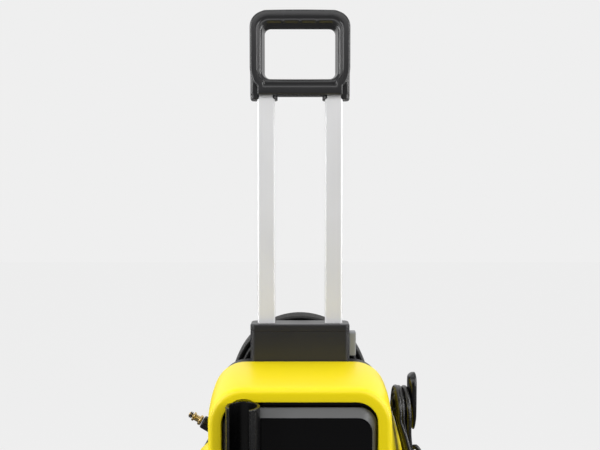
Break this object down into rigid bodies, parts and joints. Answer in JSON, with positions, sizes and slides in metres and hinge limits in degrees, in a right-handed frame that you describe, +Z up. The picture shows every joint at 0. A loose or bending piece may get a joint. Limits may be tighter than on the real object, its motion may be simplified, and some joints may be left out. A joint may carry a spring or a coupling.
{
  "type": "pressure washer",
  "caption": "Upright pressure washer on two wheels with a telescopic pull handle, yellow arch hood, lance holder, hose coil and wound mains cable.",
  "frame": {"origin": "on the floor, midway between the wheels and midway between the toe and the back of the wheels", "axes": "+Z up along the handle, -Y out of the front panel, +X to the right seen from the front"},
  "size_m": [0.397, 0.306, 0.913],
  "materials": {
    "yellow_shell": "moulded satin-gloss plastic with a soft front edge",
    "black_plastic": "fine-grained moulded plastic",
    "gloss_black": "polished moulded plastic",
    "dark_grey": "fine-grained moulded plastic",
    "light_grey": "satin moulded plastic",
    "aluminium": "brushed, clear anodised",
    "steel": "bright zinc plated",
    "copper_winding": "laminated core with cast bars",
    "brass": "turned, lightly tarnished",
    "tyre": "hard rubber with tread grooves",
    "rubber": "matte",
    "hose_rubber": "smooth satin jacket",
    "cable_rubber": "smooth satin jacket"
  },
  "bodies": {
    "root": {"front_hood": "yellow_shell", "base_tray": "black_plastic", "rear_housing": "black_plastic", "lance_holder": "black_plastic", "switch_bezel": "black_plastic", "column_cap": "black_plastic", "cable_hook_lower": "black_plastic", "hose_hook": "black_plastic", "cable_gland": "black_plastic", "mains_plug": "black_plastic", "inlet_fitting": "black_plastic", "outlet_nut": "black_plastic", "hose_collar": "black_plastic", "front_panel": "gloss_black", "handle_column": "dark_grey", "inlet_coupling": "light_grey", "pump_body": "aluminium", "cylinder_head": "aluminium", "bearing_bottom": "aluminium", "bearing_top": "aluminium", "axle": "steel", "axle_clip_right": "steel", "axle_clip_left": "steel", "motor_stator": "steel", "outlet_elbow": "brass", "hose_nipple": "brass", "foot_right": "rubber", "foot_left": "rubber", "inlet_pipe": "rubber", "outlet_pipe": "rubber", "hose_o_ring": "rubber", "hose_coil": "hose_rubber", "hose_riser": "hose_rubber", "hose_tail": "hose_rubber", "cable_hank": "cable_rubber", "cable_lead": "cable_rubber", "cable_tail": "cable_rubber"},
    "handle": {"handle_front_shell": "dark_grey", "handle_rear_shell": "dark_grey", "rod_left": "aluminium", "rod_right": "aluminium", "rod_guide_left": "black_plastic", "rod_guide_right": "black_plastic"},
    "release": {"release_button": "light_grey", "latch_bar": "steel"},
    "wheel_right": {"wheel_tyre_right": "tyre", "wheel_hub_right": "dark_grey", "hub_cap_right": "black_plastic"},
    "wheel_left": {"wheel_tyre_left": "tyre", "wheel_hub_left": "dark_grey", "hub_cap_left": "black_plastic"},
    "switch": {"switch_knob": "dark_grey"},
    "hook": {"cable_hook_upper": "black_plastic"},
    "motor": {"motor_rotor": "copper_winding", "motor_shaft": "steel", "cooling_fan": "black_plastic", "swash_plate": "steel"},
    "plunger_1": {"piston_1": "steel"},
    "plunger_2": {"piston_2": "steel"},
    "plunger_3": {"piston_3": "steel"}
  },
  "joints": [
    {"name": "handle_slide", "type": "slide", "parent": "root", "child": "handle", "axis": [0, 0, 1], "range_m": [-0.328, 0]},
    {"name": "release_press", "type": "slide", "parent": "root", "child": "release", "axis": [-1, 0, 0], "range_m": [0, 0.0045], "stiffness_N_per_m": 600, "springref_m": -0.003},
    {"name": "wheel_right_spin", "type": "hinge", "parent": "root", "child": "wheel_right", "pos_m": [0.1785, 0.078, 0.075], "axis": [1, 0, 0], "continuous": true},
    {"name": "wheel_left_spin", "type": "hinge", "parent": "root", "child": "wheel_left", "pos_m": [-0.1785, 0.078, 0.075], "axis": [1, 0, 0], "continuous": true},
    {"name": "switch_turn", "type": "hinge", "parent": "root", "child": "switch", "pos_m": [0, -0.1, 0.185], "axis": [0, 1, 0], "range_deg": [0, 90]},
    {"name": "hook_turn", "type": "hinge", "parent": "root", "child": "hook", "pos_m": [0.15, -0.008, 0.347], "axis": [1, 0, 0], "range_deg": [0, 180]},
    {"name": "motor_spin", "type": "hinge", "parent": "root", "child": "motor", "pos_m": [0, -0.034, 0.25], "axis": [0, 0, 1], "continuous": true},
    {"name": "plunger_1_slide", "type": "slide", "parent": "root", "child": "plunger_1", "axis": [0, 0, -1], "range_m": [0, 0.008], "stiffness_N_per_m": 500, "springref_m": -0.004},
    {"name": "plunger_2_slide", "type": "slide", "parent": "root", "child": "plunger_2", "axis": [0, 0, -1], "range_m": [0, 0.008], "stiffness_N_per_m": 500, "springref_m": -0.004},
    {"name": "plunger_3_slide", "type": "slide", "parent": "root", "child": "plunger_3", "axis": [0, 0, -1], "range_m": [0, 0.008], "stiffness_N_per_m": 500, "springref_m": -0.004}
  ]
}
